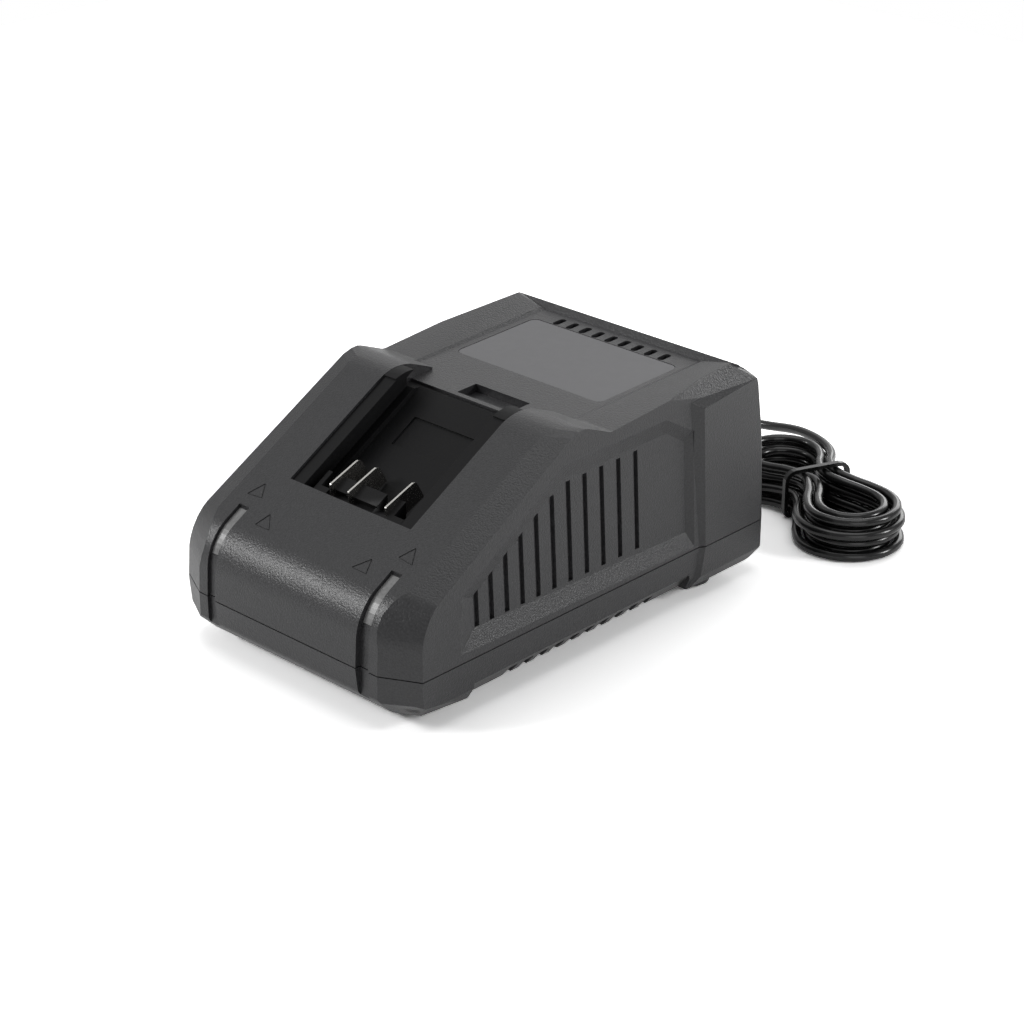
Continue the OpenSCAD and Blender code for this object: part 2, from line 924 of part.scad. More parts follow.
// Bush moulded on the lead: flange inside, neck in the wall, ribbed taper outside
rib_n = 6;
module strain_relief() {
    color(black)
        translate([exit_x, 0, exit_z])
            rotate([-90, 0, 0])
                rotate_extrude($fn = 40)
                    polygon(concat(
                        [[0, half_l - wall - 2.5], [6.4, half_l - wall - 2.5],
                            [6.4, half_l - wall - 0.4], [neck_r, half_l - wall - 0.4],
                            [neck_r, half_l + 0.1], [5.6, half_l + 0.1], [5.6, half_l + 2.4]],
                        [for (i = [0:rib_n - 1])
                            let (y = half_l + 4 + i * 4.2, r = 5.1 - 0.36 * i)
                            each [[r - 0.9, y - 1.2], [r - 0.9, y - 0.2], [r, y + 0.2],
                                [r - 0.1, y + 2.4]]],
                        [[2.5, relief_tip - 2.4], [2.4, relief_tip], [0, relief_tip]]));
}

// --- mains lead -------------------------------------------------------------------
hank_at = [45, 148];     // where the tie sits
hank_yaw = -23;
hank_run = 26.5;           // half the straight part of each loop
hank_turns = 7.75;
waist = 0.9;             // half the space between the two inner runs at the tie
tie_lift = 1.8;          // the tie lifts the runs off the table
rings = 24;              // rings in one loop

// Loops spiral in and out again: 2 at the outside, 0 at the inside
function nest(t) = t < 0 ? 2 - t : abs((t % 4) - 2);
// A layer is climbed along the front run each time the spiral turns back
function layer(t) = let (k = floor((t + 1) / 2), f = (t - 2 * k) * 4 + 0.5)
    t < 1 ? 0 : k - 1 + max(0, min(1, f));
function waist_at(x) = pow(cos(90 * x / hank_run), 2);

// Point of the hank after t turns: run, fold, run, fold
function loop_point(t) =
    let (q = ((t + 8.125) % 1) * 4,
         part = floor(q),
         f = q - part,
         o = nest(t),
         r = fold_r + loop_step * o,
         w = waist + loop_step * o,
         x = hank_run * (2 * f - 1),
         pull = waist_at(x),
         y = r - (r - w) * pull,
         z = cord_d / 2 + layer_step * layer(t))
    part == 0 ? [x, -y, z + tie_lift * pull]
    : part == 2 ? [-x, y, z + tie_lift * pull]
    : part == 1 ? [hank_run + r * cos(180 * f - 90), r * sin(180 * f - 90), z]
    : [-hank_run + r * cos(180 * f + 90), r * sin(180 * f + 90), z];

hank_from = -0.125;
hank_points = [for (i = [0:hank_turns * rings]) loop_point(hank_from + i / rings)];
hank_path = concat([hank_points[0] - [cord_d, 0, 0]], hank_points,
    [hank_points[len(hank_points) - 1] - [cord_d, 0, 0]]);

// Least gap between two stretches of the hank that aren't next to each other
fine = [for (i = [0:hank_turns * 48]) loop_point(hank_from + i / 48)];
hank_gap = min([for (i = [0:len(fine) - 1]) for (j = [i + 12:len(fine) - 1])
    norm(fine[i] - fine[j])]) - cord_d;
echo(hank_gap = hank_gap);

function path_length(p, i = 1) = i >= len(p) ? 0 : norm(p[i] - p[i - 1]) + path_length(p, i + 1);

// Tube of a given diameter and number of sides along points
function ring_frame(p, i) =
    let (n = len(p),
         a = p[max(i - 1, 0)],
         b = p[min(i + 1, n - 1)],
         t = unit(b - a),
         s = unit(cross(t, [0, 0, 1])))
    [s, cross(s, t)];

module tube(p, d, sides) {
    n = len(p);
    pts = [for (i = [0:n - 1])
        let (f = ring_frame(p, i))
        for (k = [0:sides - 1])
            let (a = 360 * (k + 0.5) / sides)
            p[i] + d / 2 * (f[0] * cos(a) + f[1] * sin(a))];
    skin = [for (i = [0:n - 2]) for (k = [0:sides - 1])
        let (a = i * sides + k,
             b = i * sides + (k + 1) % sides)
        each [[a, a + sides, b], [b, a + sides, b + sides]]];
    caps = [for (k = [1:sides - 2])
        each [[0, k, k + 1],
            [(n - 1) * sides, (n - 1) * sides + k + 1, (n - 1) * sides + k]]];
    polyhedron(points = pts, faces = concat(skin, caps));
}

function turned(p, yaw, at) = [
    at[0] + p[0] * cos(yaw) - p[1] * sin(yaw),
    at[1] + p[0] * sin(yaw) + p[1] * cos(yaw),
    p[2]];
hank_world = [for (p = hank_path) turned(p, hank_yaw, hank_at)];
hank_start = hank_world[0];
hank_end = hank_world[len(hank_world) - 1];

// Route of the lead from the strain relief's tip down to the table and the hank
lead_route = [[exit_x, relief_tip, exit_z], [-36, 133, 20.5], [-34, 141, 16.5], [-28, 147.5, 11],
    [-19.5, 149.5, 5.8], [-10, 147, 2.8], [-1, 143.5, 1.9], hank_start];
// Route of the far end from the hank down to the plug
plug_at = [-30, 184.6, 6.9];
tail_route = [hank_end, [13, 183, 13.6], [3, 186.2, 11.6], [-8, 188, 9], [-19, 187.6, 7.4],
    plug_at];

module cord_lead() {
    color(black)
        tube(lead_route, cord_d, 8);
}

module cord_hank() {
    color(black)
        tube(hank_world, cord_d, 6);
}

module cord_tail() {
    color(black)
        tube(tail_route, cord_d, 8);
}

echo(lead = path_length(lead_route), hank = path_length(hank_world), tail = path_length(tail_route));

// Band round the drawn-in middle of the hank
tie_w = waist + 2 * loop_step + cord_d / 2 + 0.3;
tie_h = cord_d + 3 * layer_step + tie_lift;
tie_t = 1.6;
module cord_tie() {
    color("#141414")
        translate([hank_at[0], hank_at[1], 0])
            rotate([0, 0, hank_yaw])
                rotate([90, 0, 90])
                    translate([0, 0, -1.1])
                        linear_extrude(2.2)
                            difference() {
                                polygon(rounded([[-tie_w - tie_t, 0.1], [tie_w + tie_t, 0.1],
                                    [tie_w + tie_t, tie_h + 0.3 + tie_t],
                                    [-tie_w - tie_t, tie_h + 0.3 + tie_t]], [3, 3, 5, 5]));
                                polygon(rounded([[-tie_w, tie_lift - 0.1], [tie_w, tie_lift - 0.1],
                                    [tie_w, tie_h + 0.3], [-tie_w, tie_h + 0.3]], [1.5, 1.5, 3.5, 3.5]));
                            }
}

// --- plug ---------------------------------------------------------------------------
plug_yaw = 197;
pin_gap = 18.6;
module on_plug() {
    translate(plug_at)
        rotate([0, 0, plug_yaw])
            children();
}

// Flat two-pole plug: a tail bush, a grip and a six-sided face
module plug_body() {
    color(black)
        on_plug()
            difference() {
                union() {
                    rotate([0, 90, 0])
                        cylinder(h = 12, r1 = 3, r2 = 4.4, $fn = 32);
                    plug_grip();
                }
                for (s = [-1, 1])
                    rod([plug_face - 8, s * pin_gap / 2, 0], [plug_face + 5, s * pin_gap / 2, 0], 1.5);
            }
}

plug_face = 38;          // front of the plug from its tail
module plug_grip() {
    intersection() {
        translate([0, 0, -6.8])
            linear_extrude(13.6)
                polygon(rounded([[10, -4.5], [17, -7.4], [24, -12.5], [35.5, -17.5],
                    [plug_face, -17.5], [plug_face, 17.5], [35.5, 17.5], [24, 12.5],
                    [17, 7.4], [10, 4.5]], [0, 4, 6, 1, 0.6, 0.6, 1, 6, 4, 0]));
        rotate([0, 90, 0])
            linear_extrude(40)
                polygon([[-6.8, -9.5], [-3, -17.6], [3, -17.6], [6.8, -9.5],
                    [6.8, 9.5], [3, 17.6], [-3, 17.6], [-6.8, 9.5]]);
    }
}

// Round pins, each with a thinner root inside the plug
module plug_pins() {
    color("#d9d9d6")
        on_plug()
            for (s = [-1, 1])
                translate([plug_face, s * pin_gap / 2, 0])
                    rotate([0, 90, 0])
                        rotate_extrude($fn = 32)
                            polygon([[0, -8], [1.5, -8], [1.5, 0], [2, 0], [2, 18], [1.2, 19], [0, 19]]);
}

upper_housing();
base_housing();
battery_cradle();
terminal_block();
contact_blades();
light_pipe_left();
light_pipe_right();
label_plate();
rubber_feet();
housing_screws();
circuit_board();
board_screws();
transformer_core();
transformer_winding();
bulk_capacitor();
output_capacitor();
filter_capacitor();
mains_choke();
mains_fuse();
heat_sink();
power_transistor();
output_rectifier();
status_leds();
blade_wires();
mains_sheath();
mains_wires();
cord_clamp();
clamp_screws();
strain_relief();
cord_lead();
cord_hank();
cord_tie();
cord_tail();
plug_body();
plug_pins();
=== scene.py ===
# %% [markdown]
# # A charger for a slide-on tool battery
# The real object is two moulded halves of dark plastic with a sloping bay on top.
# Three plated blades stand in the bay, and a glossy lead lies tied up behind.
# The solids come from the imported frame, and this lesson gives them their looks.

# %% Load the frame
import math

import bmesh
import bpy
from mathutils import Matrix, Vector


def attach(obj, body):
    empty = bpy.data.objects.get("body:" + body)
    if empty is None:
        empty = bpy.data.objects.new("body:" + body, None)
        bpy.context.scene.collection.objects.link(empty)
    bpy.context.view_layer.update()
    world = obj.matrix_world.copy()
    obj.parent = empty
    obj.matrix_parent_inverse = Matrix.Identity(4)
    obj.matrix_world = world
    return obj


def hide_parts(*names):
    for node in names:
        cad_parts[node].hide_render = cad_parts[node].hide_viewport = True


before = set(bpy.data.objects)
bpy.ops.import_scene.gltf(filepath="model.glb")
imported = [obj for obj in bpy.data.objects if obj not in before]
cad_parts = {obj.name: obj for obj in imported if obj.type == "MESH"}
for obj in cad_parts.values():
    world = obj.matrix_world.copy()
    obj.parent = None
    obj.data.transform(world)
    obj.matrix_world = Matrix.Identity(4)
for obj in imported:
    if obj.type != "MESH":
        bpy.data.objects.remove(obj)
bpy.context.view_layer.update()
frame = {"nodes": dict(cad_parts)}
nodes = frame["nodes"]
MM = 0.001
print("nodes:", len(nodes))

# %% [markdown]
# ## Camera
# The view comes from the photograph: from the right of the front, a little above.
# A wide lens close by would spread the front of the charger. The real view is
# flatter, so a long lens stands well back and keeps the far side nearly as large.

# %% Camera
LENS_MM = 93.07
SENSOR_MM = 36
CAMERA_AT = (616.96, -629.85, 450.72)
AIM_AT = (9.31, 9.82, 35.55)

camera = bpy.data.objects.new("camera", bpy.data.cameras.new("camera"))
camera.data.lens = LENS_MM
camera.data.sensor_width = SENSOR_MM
camera.location = Vector(CAMERA_AT) * MM
aim = Vector(AIM_AT) * MM
camera.rotation_euler = (aim - camera.location).to_track_quat("-Z", "Y").to_euler()
bpy.context.scene.collection.objects.link(camera)
bpy.context.scene.camera = camera
print("camera to aim, in metres:", round((aim - camera.location).length, 3))

# %% [markdown]
# ## The lead
# The lead is one flexible round cord, folded into a hank and held by a band.
# It could be swept as a mesh, but a curve with a round bevel is plainer, because
# its thickness then stays true in every bend. The loops come from the rule that
# winds them: they spiral in and out again, and climb a layer at each turning back.

# %% The sizes of the hank, in millimetres, degrees and turns
CORD_D = 3.8
HANK_AT = Vector((45, 148, 0))
HANK_YAW = -23
HANK_RUN = 26.5
HANK_TURNS = 7.75
FOLD_R = 11.4
LOOP_STEP = 5
LAYER_STEP = 4.3
WAIST = 0.9
TIE_LIFT = 1.8
FIRST_TURN = -0.125
RINGS = 24
# An eighth of a turn, and whole turns that keep the sum above zero.
PHASE = 8.125


# %% The winding rule of the hank
def nest(t):
    """Which loop of the spiral t is in: 2 is the outside one, 0 the inside one."""
    return 2 - t if t < 0 else abs(t % 4 - 2)


def layer(t):
    """How many layers up the cord lies after t turns."""
    if t < 1:
        return 0
    k = math.floor((t + 1) / 2)
    return k - 1 + max(0, min(1, (t - 2 * k) * 4 + 0.5))


def loop_point(t):
    """Place of the cord after t turns, in millimetres from the tie."""
    quarter = (t + PHASE) % 1 * 4
    part = math.floor(quarter)
    f = quarter - part
    r = FOLD_R + LOOP_STEP * nest(t)
    w = WAIST + LOOP_STEP * nest(t)
    x = HANK_RUN * (2 * f - 1)
    pull = math.cos(math.radians(90) * x / HANK_RUN) ** 2
    y = r - (r - w) * pull
    z = CORD_D / 2 + LAYER_STEP * layer(t)
    turn = math.radians(180 * f)
    if part == 0:
        return Vector((x, -y, z + TIE_LIFT * pull))
    if part == 2:
        return Vector((-x, y, z + TIE_LIFT * pull))
    if part == 1:
        return Vector((HANK_RUN + r * math.sin(turn), -r * math.cos(turn), z))
    return Vector((-HANK_RUN - r * math.sin(turn), r * math.cos(turn), z))


turned = Matrix.Rotation(math.radians(HANK_YAW), 4, "Z")
hank = [loop_point(FIRST_TURN + i / RINGS) for i in range(int(HANK_TURNS * RINGS) + 1)]
hank = [HANK_AT + turned @ p for p in hank]
print("hank points:", len(hank))

# %% The whole route of the lead
lead_route = [
    (-36, 127.5, 21.5), (-36, 133, 20.5), (-34, 141, 16.5), (-28, 147.5, 11),
    (-19.5, 149.5, 5.8), (-10, 147, 2.8), (-1, 143.5, 1.9),
]
tail_route = [
    (13, 183, 13.6), (3, 186.2, 11.6), (-8, 188, 9), (-19, 187.6, 7.4), (-30, 184.6, 6.9),
]
route = [Vector(p) for p in lead_route] + hank + [Vector(p) for p in tail_route]
route = [p * MM for p in route]
straight = sum((b - a).length for a, b in zip(route, route[1:]))
print("route points:", len(route), "straight between them, in metres:", round(straight, 2))

# %% The cord along its route
STEPS_PER_KNOT = 4
ROUNDNESS = 4


def cord_curve(name, points, diameter):
    """A round cord of that diameter, in metres, along the points."""
    data = bpy.data.curves.new(name, "CURVE")
    data.dimensions = "3D"
    spline = data.splines.new("BEZIER")
    spline.bezier_points.add(len(points) - 1)
    for knot, p in zip(spline.bezier_points, points):
        knot.co = p
        # The knots carry the cord's radius, because a curve's box is worked out
        # from them, and the bevel's depth of 1 leaves it as it is.
        knot.radius = diameter / 2
        knot.handle_left_type = knot.handle_right_type = "AUTO"
    spline.resolution_u = STEPS_PER_KNOT
    data.bevel_depth = 1
    data.bevel_resolution = ROUNDNESS
    data.use_fill_caps = True
    piece = bpy.data.objects.new(name, data)
    bpy.context.scene.collection.objects.link(piece)
    return piece


mains_lead = cord_curve("mains_lead", route, CORD_D * MM)
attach(mains_lead, "root")
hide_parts("cord_lead", "cord_hank", "cord_tail")

# %% Say what the lead is
print("cord declared:", mains_lead.name)

# %% [markdown]
# ## Two helpers for the finishes
# Colours are written as hex values in the screen's own curve, so one function
# turns them to linear light. One more adds a node, sets it and links it.


# %% Colour and node helpers
def linear(code):
    """An sRGB hex colour as linear red, green, blue and alpha."""
    parts = [int(code[i:i + 2], 16) / 255 for i in (1, 3, 5)]
    return [c / 12.92 if c <= 0.04045 else ((c + 0.055) / 1.055) ** 2.4 for c in parts] + [1]


def add(material, kind, inputs=(), **settings):
    """Adds a node: inputs are (socket, value or another node's output) pairs."""
    tree = material.node_tree
    node = tree.nodes.new("ShaderNode" + kind)
    for name, value in settings.items():
        setattr(node, name, value)
    for socket, value in inputs:
        if isinstance(value, bpy.types.NodeSocket):
            tree.links.new(value, node.inputs[socket])
        else:
            node.inputs[socket].default_value = value
    return node


# %% [markdown]
# ## Finishes
# Most pieces differ in the same few ways: two shades that vary over the surface,
# the size of that variation, how rough it is and how deep its texture goes.
# Painted images would need a picture for each. One recipe of noise needs only
# those sizes, in millimetres, so each call names a real material and gives them.

# %% The recipe for a finish
GRAIN_DETAIL = 2.0
GRAIN_ROUGHNESS = 0.6
BUMP_STRENGTH = 0.5
# Sockets by number: these two nodes have one of each name for every kind of data.
SHADE_FACTOR, SHADE_A, SHADE_B, SHADE_OUT = 0, 6, 7, 2
LOW_END, HIGH_END = 3, 4


def finish(name, dark, light, size_mm, roughness, depth_mm,
           metallic=0.0, specular=0.5, spread=0.06):
    """A material whose shade, roughness and surface vary over size_mm."""
    m = bpy.data.materials.new(name)
    m.use_nodes = True
    m.node_tree.nodes.clear()
    place = add(m, "TexCoord").outputs["Object"]
    grain = add(m, "TexNoise", [
        ("Vector", place), ("Scale", 1 / (size_mm * MM)),
        ("Detail", GRAIN_DETAIL), ("Roughness", GRAIN_ROUGHNESS),
    ]).outputs["Fac"]
    shade = add(m, "Mix", [
        (SHADE_FACTOR, grain), (SHADE_A, linear(dark)), (SHADE_B, linear(light)),
    ], data_type="RGBA").outputs[SHADE_OUT]
    rough = add(m, "MapRange", [
        ("Value", grain), (LOW_END, roughness - spread), (HIGH_END, roughness + spread),
    ]).outputs[0]
    bump = add(m, "Bump", [
        ("Height", grain), ("Distance", depth_mm * MM), ("Strength", BUMP_STRENGTH),
    ]).outputs[0]
    skin = add(m, "BsdfPrincipled", [
        ("Base Color", shade), ("Roughness", rough), ("Normal", bump),
        ("Metallic", metallic), ("Specular IOR Level", specular),
    ])
    add(m, "OutputMaterial", [("Surface", skin.outputs[0])])
    return m


def dress(material, *names):
    """Gives the pieces that stand for these nodes a material, and says so."""
    for name in names:
        piece = nodes[name]
        piece.data.materials.clear()
        piece.data.materials.append(material)
    print(material.name, "on", ", ".join(names))


# %% [markdown]
# ## Moulded edges
# No edge of a moulded part is knife sharp, and each rounded edge catches a thin
# line of light. A bevel in the shader would give the light but no shape. So the
# plastic pieces are copied, their flat faces joined again, and every edge sharper
# than a set angle is bevelled in the mesh.

# %% Copy a piece and bevel it
WELD = 2e-6
CUT_DISTANCE = 1e-7
FLAT_DEGREES = 0.7
SHARP_DEGREES = 14
BEVEL_SEGMENTS = 2
FACE_WEIGHT = 50


def shaved(bm, place, normal):
    """Cuts off what lies beyond the plane, in millimetres, and closes the cut."""
    cut = bmesh.ops.bisect_plane(
        bm, geom=bm.verts[:] + bm.edges[:] + bm.faces[:], dist=CUT_DISTANCE,
        plane_co=Vector(place) * MM, plane_no=Vector(normal).normalized(), clear_outer=True,
    )["geom_cut"]
    rim = [e for e in cut if isinstance(e, bmesh.types.BMEdge)]
    bmesh.ops.edgenet_fill(bm, edges=rim)


def moulded(name, width_mm, cuts=(), shape=None):
    """A copy of a CAD piece, cut by planes, shaped, and with its edges rounded."""
    source = nodes[name]
    mesh = bpy.data.meshes.new("moulded_" + name)
    bm = bmesh.new()
    bm.from_mesh(source.data)
    bm.transform(source.matrix_world)
    bmesh.ops.remove_doubles(bm, verts=bm.verts, dist=WELD)
    for place, normal in cuts:
        shaved(bm, place, normal)
    if shape:
        shape(bm)
    bmesh.ops.dissolve_limit(
        bm, angle_limit=math.radians(FLAT_DEGREES), verts=bm.verts, edges=bm.edges,
        delimit=set())
    sharp = math.radians(SHARP_DEGREES)
    edges = [e for e in bm.edges if e.is_manifold and e.calc_face_angle() > sharp]
    bmesh.ops.bevel(
        bm, geom=edges, offset=width_mm * MM, offset_type="OFFSET", affect="EDGES",
        segments=BEVEL_SEGMENTS, profile=0.5, material=-1, clamp_overlap=True,
        loop_slide=True)
    bmesh.ops.recalc_face_normals(bm, faces=bm.faces)
    for face in bm.faces:
        face.smooth = True
    bm.to_mesh(mesh)
    bm.free()
    piece = bpy.data.objects.new("moulded_" + name, mesh)
    bpy.context.scene.collection.objects.link(piece)
    flat = piece.modifiers.new("flat_faces", "WEIGHTED_NORMAL")
    flat.weight = FACE_WEIGHT
    flat.keep_sharp = True
    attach(piece, "root")
    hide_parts(name)
    print(name, "bevelled:", len(mesh.polygons), "faces", len(edges), "edges")
    nodes[name] = piece
    return piece


# %% [markdown]
# ## The two halves of the housing
# The real moulding is a little fuller or slimmer than the solids in three places.
# The rear shoulders stand higher and wider, and the back leans in towards its top.
# New solids could have given that. Here the copy's points are moved by smooth
# steps, which leave the rest where it is, and planes cut the lower front corners.

# %% Where the rear shoulders change, in millimetres
# Each pair is a stretch over which a change comes in.
SHOULDER_LIFT = 2.4
LIFT_Y = (15, 62)
LIFT_X = (43, 46)
LIFT_Z = (78, 83.5)
REAR_EDGE_Y = (84, 88)
REAR_EDGE_Z = (68, 75)
SHOULDER_SPREAD = 2.6
SPREAD_Y = (50, 59)
SPREAD_X = (48, 50.3)
SPREAD_Z = (81, 83.5)
BACK_LEAN = 4.5
LEAN_Y = (76, 86)
LEAN_Z = (32, 72)
SHOULDER_X = (40, 47)
# The share of the lean that the shoulders go without.
SHOULDER_SHARE = 0.5
CORNER_TUCK = 1.0
CORNER_X = (54, 58)


def share(value, start, end):
    """0 before start, 1 after end, with a straight rise between them."""
    return min(1, max(0, (value - start) / (end - start)))


def eased(value, start, end):
    """0 before start, 1 after end, with a smooth rise between them."""
    t = share(value, start, end)
    return t * t * (3 - 2 * t)


def shape_rear(bm):
    """Raises and widens the top of each rear shoulder, and leans the back in."""
    for v in bm.verts:
        x, y, z = v.co / MM
        crest = max(eased(z, *LIFT_Z), eased(z, *REAR_EDGE_Z) * eased(y, *REAR_EDGE_Y))
        lift = eased(y, *LIFT_Y) * eased(abs(x), *LIFT_X) * crest
        spread = eased(y, *SPREAD_Y) * eased(abs(x), *SPREAD_X) * eased(z, *SPREAD_Z)
        up = share(z, *LEAN_Z) * eased(y, *LEAN_Y)
        lean = up * (1 - SHOULDER_SHARE * eased(abs(x), *SHOULDER_X))
        tuck = up * eased(abs(x), *CORNER_X)
        outward = math.copysign(MM, x)
        v.co.x += (SHOULDER_SPREAD * spread - CORNER_TUCK * tuck) * outward
        v.co.y -= BACK_LEAN * lean * MM
        v.co.z += SHOULDER_LIFT * lift * MM


# %% The upper and the lower half
# A cut's point and the way it faces: under the front, under the side, up the corner.
corner_cuts = []
for side in (1, -1):
    corner_cuts += [
        ((side * 53.1, -90.8, 12), (side * 0.36, -0.62, -0.7)),
        ((side * 59.6, -76, 9.4), (side * 0.7, -0.1, -0.72)),
        ((side * 60.4, -87, 19), (side * 0.62, -0.62, -0.13)),
    ]
shell_upper = moulded("upper_housing", 0.7, shape=shape_rear)
shell_base = moulded("base_housing", 0.5, cuts=corner_cuts)

# %% The cradle, the terminal block and the label
cradle = moulded("battery_cradle", 0.3)
block = moulded("terminal_block", 0.25)
label_film = moulded("label_plate", 0.15)

# %% [markdown]
# ## Marks moulded in the slope
# Small raised outlines of triangles stand beside each light pipe. A bump pattern
# would vanish from the side, so each is made in the mesh, a fifth of a millimetre
# high: a face is inset, its middle taken out, and the ring left is pulled up.
# Known fault: the new face has no normal yet when it is inset, so the ring comes
# out with no width, and each ridge is a wall without thickness.

# %% One raised triangle
RAMP = 0.56
RAMP_START = (-62.7, 60.6)
RIDGE_WIDTH = 0.45
RIDGE_HEIGHT = 0.22
RIDGE_ROOT = 0.1
ramp_up = Vector((0, -RAMP, 1)).normalized()


def on_slope(x, y):
    """A point of the sloping front, in millimetres."""
    start_y, start_z = RAMP_START
    return Vector((x, y, start_z + RAMP * (y - start_y)))


def raised_triangle(bm, corners):
    """Adds the outline of a triangle as a raised ridge, its foot in the plastic."""
    foot = [bm.verts.new((on_slope(x, y) - ramp_up * RIDGE_ROOT) * MM) for x, y in corners]
    inside = bm.faces.new(foot)
    ring = bmesh.ops.inset_region(
        bm, faces=[inside], thickness=RIDGE_WIDTH * MM,
        use_boundary=True, use_even_offset=True)["faces"]
    bmesh.ops.delete(bm, geom=[inside], context="FACES")
    raised = bmesh.ops.extrude_face_region(bm, geom=ring)["geom"]
    top = [v for v in raised if isinstance(v, bmesh.types.BMVert)]
    bmesh.ops.translate(bm, verts=top, vec=ramp_up * (RIDGE_HEIGHT + RIDGE_ROOT) * MM)


# %% Four raised triangles
bm = bmesh.new()
for side in (1, -1):
    raised_triangle(bm, [(side * 34.9, -72.7), (side * 38.2, -67.8), (side * 41.8, -73.3)])
    raised_triangle(bm, [(side * 21.2, -81.8), (side * 25.9, -76.8), (side * 28.2, -81.9)])
bmesh.ops.recalc_face_normals(bm, faces=bm.faces)
marks_mesh = bpy.data.meshes.new("slope_marks")
bm.to_mesh(marks_mesh)
bm.free()
marks = bpy.data.objects.new("slope_marks", marks_mesh)
bpy.context.scene.collection.objects.link(marks)
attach(marks, "root")
print("triangle faces:", len(marks_mesh.polygons))

# %% [markdown]
# ## Plastics of the housing and the bay
# The housing is grained, and the bay is smoother and darker, partly as painted shade. Even
# plastic could be one flat colour, but grain is what the eye reads as moulded, so each has
# its own.

# %% Housing and bay
# ABS from a spark-eroded mould: an even grain that breaks up every highlight.
# Real grain of this kind is too fine to show here, so it is drawn at 0.7 mm.
housing = finish("spark_eroded_abs", "#141415", "#373739", 0.7, 0.35, 0.36, spread=0.1)
dress(housing, "upper_housing", "base_housing")
marks_mesh.materials.append(housing)
# Black polycarbonate from a smoother tool: its own black, deepened with painted shade
# so that the bay looks deep. Its faint flow marks are drawn 1.6 mm wide.
inner = finish("smooth_black_pc_and_painted_shade", "#0e0e0f", "#141415", 1.6, 0.5, 0.1, specular=0.15)
dress(inner, "battery_cradle", "terminal_block")
# Polyester film: an even satin grey, lighter than the housing. Its clouds are 4 mm
# wide and hardly seen.
label = finish("satin_label_film", "#545456", "#58585a", 4, 0.42, 0.04)
dress(label, "label_plate")
# Nickel on brass: thin, slightly warm bright lines against the dark bay.
# Its polish waves over 2 mm.
blade = finish("nickel_plate", "#c9c7c2", "#d8d6d2", 2, 0.25, 0.01, metallic=1.0)
dress(blade, "contact_blades", "plug_pins")
# Frosted polycarbonate: pale and uneven, as light scatters in it, in 1.1 mm spots.
pipe = finish("frosted_polycarbonate", "#5e5e5e", "#8e8e8e", 1.1, 0.35, 0.05)
dress(pipe, "light_pipe_left", "light_pipe_right")

# %% [markdown]
# ## Lead, plug and feet
# The lead is the glossiest plastic in the view, with a long highlight along each
# turn. Plug and feet are nearly as black. A different colour could set them apart,
# but the real ones differ in gloss, so each is duller than the one before.

# %% Lead, plug and feet
# Soft PVC, extruded: nearly black and smooth, with waves 3 mm long.
pvc = finish("glossy_pvc_sheath", "#0b0b0b", "#101010", 3, 0.22, 0.02)
mains_lead.data.materials.append(pvc)
dress(pvc, "mains_sheath", "strain_relief", "cord_tie")
# The same PVC from a matt mould: a duller black, its fine grain drawn at 0.8 mm.
plug = finish("moulded_pvc_plug", "#121212", "#181818", 0.8, 0.4, 0.05)
dress(plug, "plug_body")
# Moulded rubber: hardly a highlight. Its grain is drawn at 0.7 mm so that it shows.
foot = finish("foot_rubber", "#161616", "#1e1e1e", 0.7, 0.8, 0.1)
dress(foot, "rubber_feet")

# %% [markdown]
# ## What the housing hides
# One grey would do for what no view shows, but each piece can also be looked at by
# itself. So they get the common finishes of a power supply, from the same recipe.

# %% Screws, board and windings
# Zinc-plated steel: pale grey with a soft glint, its clouding drawn 1.2 mm wide.
steel = finish("zinc_plated_steel", "#a2a29e", "#bcbcb8", 1.2, 0.35, 0.02, metallic=1.0)
dress(steel, "housing_screws", "board_screws", "clamp_screws")
# Solder mask on glass cloth: green with a wet look, in patches 3 mm wide.
board = finish("solder_mask_board", "#1d5a34", "#236b3e", 3, 0.35, 0.03)
dress(board, "circuit_board")
# Ground ferrite: charcoal and dull like fine stone, its specks drawn 0.8 mm wide.
ferrite = finish("ground_ferrite", "#2b2b2e", "#3a3a3e", 0.8, 0.55, 0.08)
dress(ferrite, "transformer_core")
# Enamelled copper, wound: warm red brown, with 0.6 mm ripples in place of its turns.
copper = finish("enamelled_copper_wire", "#8a3d16", "#b5632c", 0.6, 0.3, 0.15, metallic=1.0)
dress(copper, "transformer_winding", "mains_choke")

# %% Capacitors and fuse
# Shrunk PVC sleeve: blue black and shiny, with 2 mm ripples.
can = finish("capacitor_sleeve", "#14181f", "#1c222b", 2, 0.3, 0.02)
dress(can, "bulk_capacitor", "output_capacitor")
# Moulded PBT box: opaque yellow, with flow marks 1.5 mm wide.
box = finish("moulded_capacitor_box", "#b89a22", "#c8aa30", 1.5, 0.4, 0.03)
dress(box, "filter_capacitor")
# Glass tube, drawn opaque: pale and very shiny, with 3 mm waves.
glass = finish("fuse_tube", "#c9cac2", "#d9dad2", 3, 0.12, 0.01)
dress(glass, "mains_fuse")

# %% Heat sink, packages, lamps, wires and clamp
# Extruded aluminium: a half-matt grey, its mottle drawn 1 mm wide.
extrusion = finish("extruded_aluminium", "#9c9ea0", "#aeb0b2", 1, 0.4, 0.03, metallic=1.0)
dress(extrusion, "heat_sink")
# Moulded epoxy: matt black, its specks of filler drawn 0.6 mm wide.
package = finish("moulded_epoxy_package", "#242426", "#2e2e31", 0.6, 0.6, 0.05)
dress(package, "power_transistor", "output_rectifier")
# Cast epoxy lens: water white and shiny, its tint changing over 1.5 mm.
lens = finish("clear_lamp_lens", "#dfe2dc", "#eef0ea", 1.5, 0.2, 0.02)
dress(lens, "status_leds")
# PVC insulation: dull red, with 1.5 mm waves.
wire = finish("wire_insulation", "#8f2a24", "#a2352d", 1.5, 0.45, 0.02)
dress(wire, "blade_wires", "mains_wires")
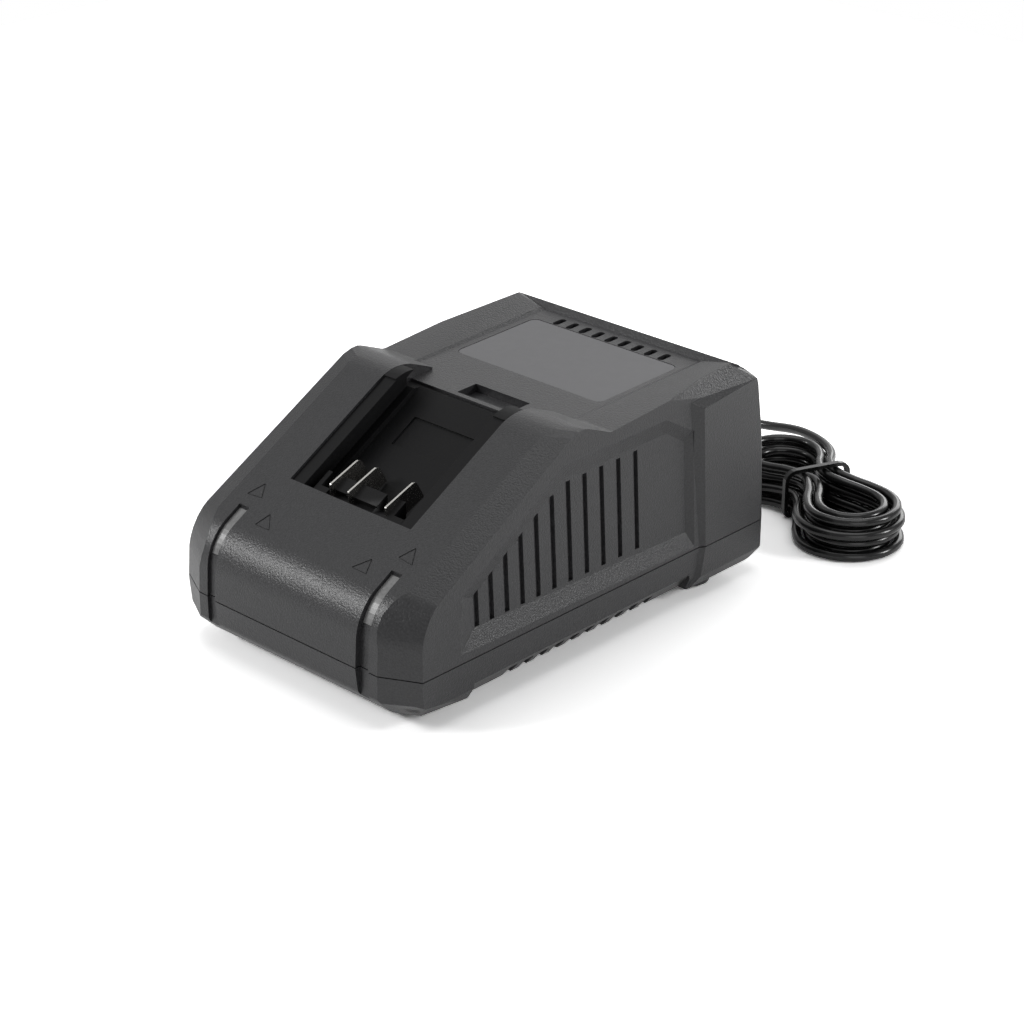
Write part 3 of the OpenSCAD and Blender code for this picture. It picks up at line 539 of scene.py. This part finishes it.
# Natural nylon: milky and half matt, in clouds 1.2 mm wide.
nylon = finish("natural_nylon", "#c8c4b8", "#d8d4c8", 1.2, 0.5, 0.04)
dress(nylon, "cord_clamp")

# %% [markdown]
# ## Studio
# The floor is pale and keeps a soft shadow. More lamps would whiten it, but they
# would also fade the plastic. So what the camera sees of floor and background is
# made white by their own colour, and the lamps stay at a plain level. Gloss sees
# a share of that white: all of it would turn the dark plastic grey.

# %% Floor
FLOOR_HALF = 0.8
floor_mesh = bpy.data.meshes.new("floor")
bm = bmesh.new()
bmesh.ops.create_grid(bm, x_segments=1, y_segments=1, size=FLOOR_HALF)
bm.to_mesh(floor_mesh)
bm.free()
floor = bpy.data.objects.new("floor", floor_mesh)
bpy.context.scene.collection.objects.link(floor)

# %% What sees the white
WHITE_SHARE = 0.35


def looking(owner):
    """1 for the camera's rays, WHITE_SHARE off gloss or through glass, and else 0."""
    rays = add(owner, "LightPath").outputs
    indirect = add(owner, "Math", [
        (0, rays["Is Glossy Ray"]), (1, rays["Is Transmission Ray"]),
    ], operation="MAXIMUM").outputs[0]
    weakened = add(owner, "Math", [
        (0, indirect), (1, WHITE_SHARE),
    ], operation="MULTIPLY").outputs[0]
    return add(owner, "Math", [
        (0, rays["Is Camera Ray"]), (1, weakened),
    ], operation="MAXIMUM").outputs[0]


# %% The floor's paper
# Coated paper: no gloss, so that only the shadow draws it.
SEEN_ALBEDO = 1.8
SEEN_GLOW = 0.02
paper = bpy.data.materials.new("white_paper_sweep")
paper.use_nodes = True
paper.node_tree.nodes.clear()
matte = add(paper, "BsdfDiffuse", [("Color", linear("#f4f4f4"))]).outputs[0]
bright = add(paper, "BsdfDiffuse", [
    ("Color", [SEEN_ALBEDO, SEEN_ALBEDO, SEEN_ALBEDO, 1]),
]).outputs[0]
glow = add(paper, "Emission", [
    ("Color", linear("#ffffff")), ("Strength", SEEN_GLOW),
]).outputs[0]
seen = add(paper, "AddShader", [(0, bright), (1, glow)]).outputs[0]
mixed = add(paper, "MixShader", [(0, looking(paper)), (1, matte), (2, seen)]).outputs[0]
add(paper, "OutputMaterial", [("Surface", mixed)])
floor_mesh.materials.append(paper)
print("floor half side, in metres:", FLOOR_HALF)

# %% World
SKY_STRENGTH = 0.1
world = bpy.data.worlds.new("studio")
bpy.context.scene.world = world
world.use_nodes = True
world.node_tree.nodes.clear()
sky = add(world, "Background", [
    ("Color", linear("#ffffff")), ("Strength", SKY_STRENGTH),
]).outputs[0]
white = add(world, "Background", [
    ("Color", linear("#ffffff")), ("Strength", 1.0),
]).outputs[0]
mixed = add(world, "MixShader", [(0, looking(world)), (1, sky), (2, white)]).outputs[0]
add(world, "OutputWorld", [("Surface", mixed)])
print("sky strength:", SKY_STRENGTH)

# %% Lamps
LIT_POINT = Vector((0, 0, 0.05))


def softbox(name, place, width, height, power):
    """An area lamp that faces the charger; all in metres and watts."""
    data = bpy.data.lights.new(name, "AREA")
    data.shape = "RECTANGLE"
    data.size = width
    data.size_y = height
    data.energy = power
    lamp = bpy.data.objects.new(name, data)
    lamp.location = place
    lamp.rotation_euler = (LIT_POINT - lamp.location).to_track_quat("-Z", "Y").to_euler()
    bpy.context.scene.collection.objects.link(lamp)


# Two large ones above and behind, two weak ones at the left, a long flat one at the
# front left, and at the right a small one behind and a wide one in front.
softbox("overhead", (-0.1, 0.2, 1.5), 1.2, 1.2, 7)
softbox("back", (-0.35, 1.6, 0.65), 1.0, 0.8, 8.5)
softbox("back_left", (-1.0, 1.1, 0.75), 0.9, 0.9, 1.6)
softbox("left", (-1.3, -0.05, 1.3), 0.8, 0.8, 1.0)
softbox("front_left", (-1.0, -1.2, 0.95), 0.9, 0.22, 18)
softbox("right", (0.98, 0.68, 0.54), 0.3, 0.3, 6)
softbox("fill", (1.1, -0.6, 0.45), 0.8, 0.8, 2.5)
bpy.context.scene.view_settings.view_transform = "Standard"
print("lamps:", len(bpy.data.lights))
